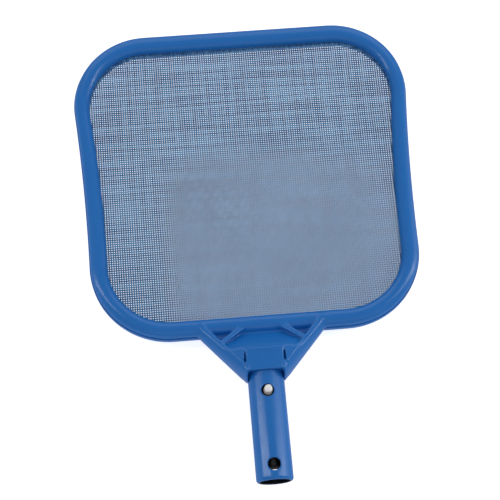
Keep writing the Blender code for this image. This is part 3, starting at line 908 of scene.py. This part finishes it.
def net_tree(material):
    """Geometry nodes that weave one panel of the net between its first and last lines."""
    group = bpy.data.node_groups.new("woven_net", "GeometryNodeTree")
    sockets = {}
    for name, kind in (
        ("First line", "NodeSocketInt"),
        ("Lines", "NodeSocketInt"),
        ("First crossing", "NodeSocketInt"),
        ("Crossings", "NodeSocketInt"),
        ("Pitch", "NodeSocketFloat"),
        ("Thread", "NodeSocketFloat"),
        ("Crimp", "NodeSocketFloat"),
        ("Ripple", "NodeSocketFloat"),
    ):
        made = group.interface.new_socket(name, in_out="INPUT", socket_type=kind)
        sockets[name] = made.identifier
    group.interface.new_socket("Geometry", in_out="OUTPUT", socket_type="NodeSocketGeometry")
    tree = Tree(group)
    source = group.nodes.new("NodeGroupInput")
    given = {name: Value(tree, source.outputs[name]) for name in sockets}
    pitch = given["Pitch"]

    def combined(x, y, z):
        return tree.node("ShaderNodeCombineXYZ", {}, {"X": x, "Y": y, "Z": z})

    def line(count, start, offset):
        values = {"Count": count, "Start Location": start, "Offset": offset}
        return tree.node("GeometryNodeMeshLine", {"mode": "OFFSET"}, values)

    def family(turned):
        """Threads along Y, or along X when turned."""
        left, low = given["First line"] * pitch, given["First crossing"] * pitch
        if turned:
            across = line(given["Crossings"], combined(0, low, 0), combined(0, pitch, 0))
            thread = line(given["Lines"] + 1, combined(left, 0, 0), combined(pitch, 0, 0))
        else:
            across = line(given["Lines"], combined(left, 0, 0), combined(pitch, 0, 0))
            thread = line(given["Crossings"] + 1, combined(0, low, 0), combined(0, pitch, 0))
        values = {"Points": across, "Instance": thread}
        placed = tree.node("GeometryNodeInstanceOnPoints", {}, values)
        threads = tree.node("GeometryNodeRealizeInstances", {}, {"Geometry": placed})
        spot = tree.node("GeometryNodeInputPosition")
        x, y = tree.axis(spot, "X"), tree.axis(spot, "Y")
        depth = rim_distance(tree, x, y)
        settings = {"domain": "POINT"}
        values = {"Geometry": threads, "Selection": depth.math("GREATER_THAN", 0.0)}
        kept = tree.node("GeometryNodeDeleteGeometry", settings, values)
        place = (x / pitch).math("ROUND") + (y / pitch).math("ROUND")
        parity = (place + (1 if turned else 0)).math("FLOORED_MODULO", 2)
        wave = (1 - parity * 2) * given["Crimp"]
        free = tree.ramp(depth, -NET_HELD, -NET_FREE)
        sag = tree.noise(spot, 22, 2) - 0.5
        crease = tree.noise(spot, 55, 1) - 0.5
        lift = (sag + crease * 0.35) * given["Ripple"] * free
        drift = tree.noise(spot, 34, 1, 0.4) - 0.5
        slide = drift * NET_DRIFT * free
        offset = combined(0, slide, wave + lift) if turned else combined(slide, 0, wave + lift)
        values = {"Geometry": kept, "Offset": offset}
        return tree.node("GeometryNodeSetPosition", {}, values)

    families = [family(False), family(True)]
    both = tree.node("GeometryNodeJoinGeometry", {}, {"Geometry": families})
    curves = tree.node("GeometryNodeMeshToCurve", {}, {"Mesh": both})
    values = {"Resolution": 4, "Radius": given["Thread"] * 0.5}
    ring = tree.node("GeometryNodeCurvePrimitiveCircle", {}, values)
    values = {"Geometry": ring, "Scale": (1.0, 0.8, 1.0)}
    flat_ring = tree.node("GeometryNodeTransform", {}, values)
    values = {"Curve": curves, "Profile Curve": flat_ring, "Fill Caps": True}
    tubes = tree.node("GeometryNodeCurveToMesh", {}, values)
    solid = tree.node("GeometryNodeRealizeInstances", {}, {"Geometry": tubes})
    values = {"Geometry": solid, "Material": material}
    painted = tree.node("GeometryNodeSetMaterial", {}, values)
    tree.feed(group.nodes.new("NodeGroupOutput").inputs[0], painted)
    return group, sockets


def rim_distance(tree, x, y):
    """Distance to the net's edge under the bead, below zero inside it, as node maths."""
    top = Y_LEAD - BEAD_WIDTH_LEAD + NET_BITE
    bottom = Y_BACK + BEAD_WIDTH_BACK - NET_BITE
    middle, half_length = (top + bottom) / 2, (top - bottom) / 2
    narrow = HALF_WIDTH_BACK - BEAD_WIDTH_SIDE_BACK + NET_BITE
    flare = SIDE_FLARE + BEAD_WIDTH_SIDE_BACK - BEAD_WIDTH_SIDE_LEAD
    values = {"Value": y, "From Min": bottom + 0.05, "From Max": top - 0.05}
    rise = tree.node("ShaderNodeMapRange", {}, values)
    half_width = narrow + rise * rise * flare
    back = BACK_CORNER_RADIUS - BEAD_WIDTH_SIDE_BACK + NET_BITE
    lead = LEAD_CORNER_RADIUS - BEAD_WIDTH_SIDE_LEAD + NET_BITE
    radius = back + (lead - back) * (y - middle).math("GREATER_THAN", 0.0)
    side = x.math("ABSOLUTE") - half_width + radius
    end = (y - middle).math("ABSOLUTE") - half_length + radius
    squares = side.math("MAXIMUM", 0.0) ** 2 + end.math("MAXIMUM", 0.0) ** 2
    corner = squares.math("SQRT")
    return corner + side.math("MAXIMUM", end).math("MINIMUM", 0.0) - radius


def make_net(material):
    """The net in two panels that meet on the centre line, each with both thread families."""
    group, sockets = net_tree(material)
    half_lines = int((HALF_WIDTH_BACK + SIDE_FLARE) / NET_PITCH)
    first = int(Y_BACK / NET_PITCH)
    crossings = int(Y_LEAD / NET_PITCH) - first
    panels = []
    for name, start in (("net_panel_left", -half_lines), ("net_panel_right", 0)):
        seed = new_piece(f"{name}_seed", [(0, 0, 0)], [], material)
        weave = seed.modifiers.new("weave", "NODES")
        weave.node_group = group
        for label, value in (
            ("First line", start),
            ("Lines", half_lines),
            ("First crossing", first),
            ("Crossings", crossings),
            ("Pitch", NET_PITCH),
            ("Thread", NET_THREAD),
            ("Crimp", NET_CRIMP),
            ("Ripple", NET_RIPPLE),
        ):
            weave[sockets[label]] = value
        graph = bpy.context.evaluated_depsgraph_get()
        mesh = bpy.data.meshes.new_from_object(seed.evaluated_get(graph), depsgraph=graph)
        bpy.data.objects.remove(seed)
        mesh.name = name
        mesh.shade_smooth()
        panel = bpy.data.objects.new(name, mesh)
        bpy.context.scene.collection.objects.link(panel)
        panels.append(panel)
    return panels


def net_area():
    """Area of half the net's cut."""
    _, inner = frame_outlines()
    twice = sum(ax * by - bx * ay for (ax, ay), (bx, by) in zip(inner, inner[1:]))
    reach = sum(math.dist(a, b) for a, b in zip(inner, inner[1:]))
    return twice / 2 + reach * NET_BITE


# ---- Stage --------------------------------------------------------------------------


def softbox(name, place, target, size, power):
    """A rectangular light at one place that faces another."""
    data = bpy.data.lights.new(name, "AREA")
    data.shape = "RECTANGLE"
    data.size, data.size_y = size
    data.energy = power
    light = bpy.data.objects.new(name, data)
    light.location = place
    aim = Vector(target) - Vector(place)
    light.rotation_euler = aim.to_track_quat("-Z", "Y").to_euler()
    bpy.context.scene.collection.objects.link(light)


def make_stage():
    """White paper under the skimmer, five softboxes and a pale sky."""
    corners = [(x, y, FLOOR_HEIGHT) for x, y in ((-1, -1), (1, -1), (1, 1), (-1, 1))]
    corners = [(x * FLOOR_REACH, y * FLOOR_REACH, z) for x, y, z in corners]
    floor = new_piece("floor", corners, [(0, 1, 2, 3)], floor_paper(), smooth=False)
    floor.visible_glossy = False
    softbox("lead_softbox", (0.1, 1.6, 1.1), (0, 0.1, 0), (2.6, 1.4), 9)
    softbox("top_softbox", (0.3, -1.3, 1.5), (0, 0, 0), (2.4, 1.2), 2.5)
    softbox("left_softbox", (-1.15, 0.1, 1.0), (0, 0, 0), (0.15, 1.5), 4.6)
    softbox("right_softbox", (1.25, 0.0, 1.05), (0, 0, 0), (0.20, 1.6), 5)
    softbox("low_right_softbox", (1.4, 0.1, 0.5), (0, 0, 0), (0.8, 1.4), 3)
    world = bpy.data.worlds.new("studio")
    world.use_nodes = True
    background = world.node_tree.nodes["Background"]
    background.inputs["Color"].default_value = (0.97, 0.98, 1.0, 1)
    background.inputs["Strength"].default_value = 0.36
    bpy.context.scene.world = world
    bpy.context.scene.view_settings.view_transform = "Standard"


def make_camera():
    """A long lens above the handle's end, looking down and a little along the skimmer."""
    place = Vector((-0.05268, -0.35825, 1.06573))
    right = Vector((0.996293, -0.084105, 0.018048))
    up = Vector((0.074037, 0.945242, 0.317861))
    back = Vector((-0.043794, -0.315346, 0.947966))
    data = bpy.data.cameras.new("camera")
    data.lens = 100.8
    data.sensor_width = 36
    camera = bpy.data.objects.new("camera", data)
    turned = Matrix((right, up, back)).transposed().to_4x4()
    camera.matrix_world = Matrix.Translation(place) @ turned
    bpy.context.scene.collection.objects.link(camera)
    bpy.context.scene.camera = camera


# ---- Build --------------------------------------------------------------------------

make_camera()
make_stage()
plastic = moulded_plastic()
steel = spring_steel()
nylon = white_nylon()
thread = net_thread()

moulding = make_front_frame(plastic)
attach(moulding, "skimmer")
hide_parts("front_frame")

ring = make_ring(plastic)
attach(ring, "skimmer")
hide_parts("rear_ring")

handle = make_handle(plastic)
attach(handle, "skimmer")
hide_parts("handle_tube")

for panel in make_net(thread):
    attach(panel, "skimmer")
    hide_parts("mesh_net")
    net_area()

for side, flip in (("front", 1), ("rear", -1)):
    strip = make_strip_half(f"clip_strip_{side}", flip, steel)
    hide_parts("clip_spring")
    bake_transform(strip)
    button = make_button(f"{side}_button_pin", flip, nylon)
    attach(button, f"{side}_leg")
    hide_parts(f"{side}_button")
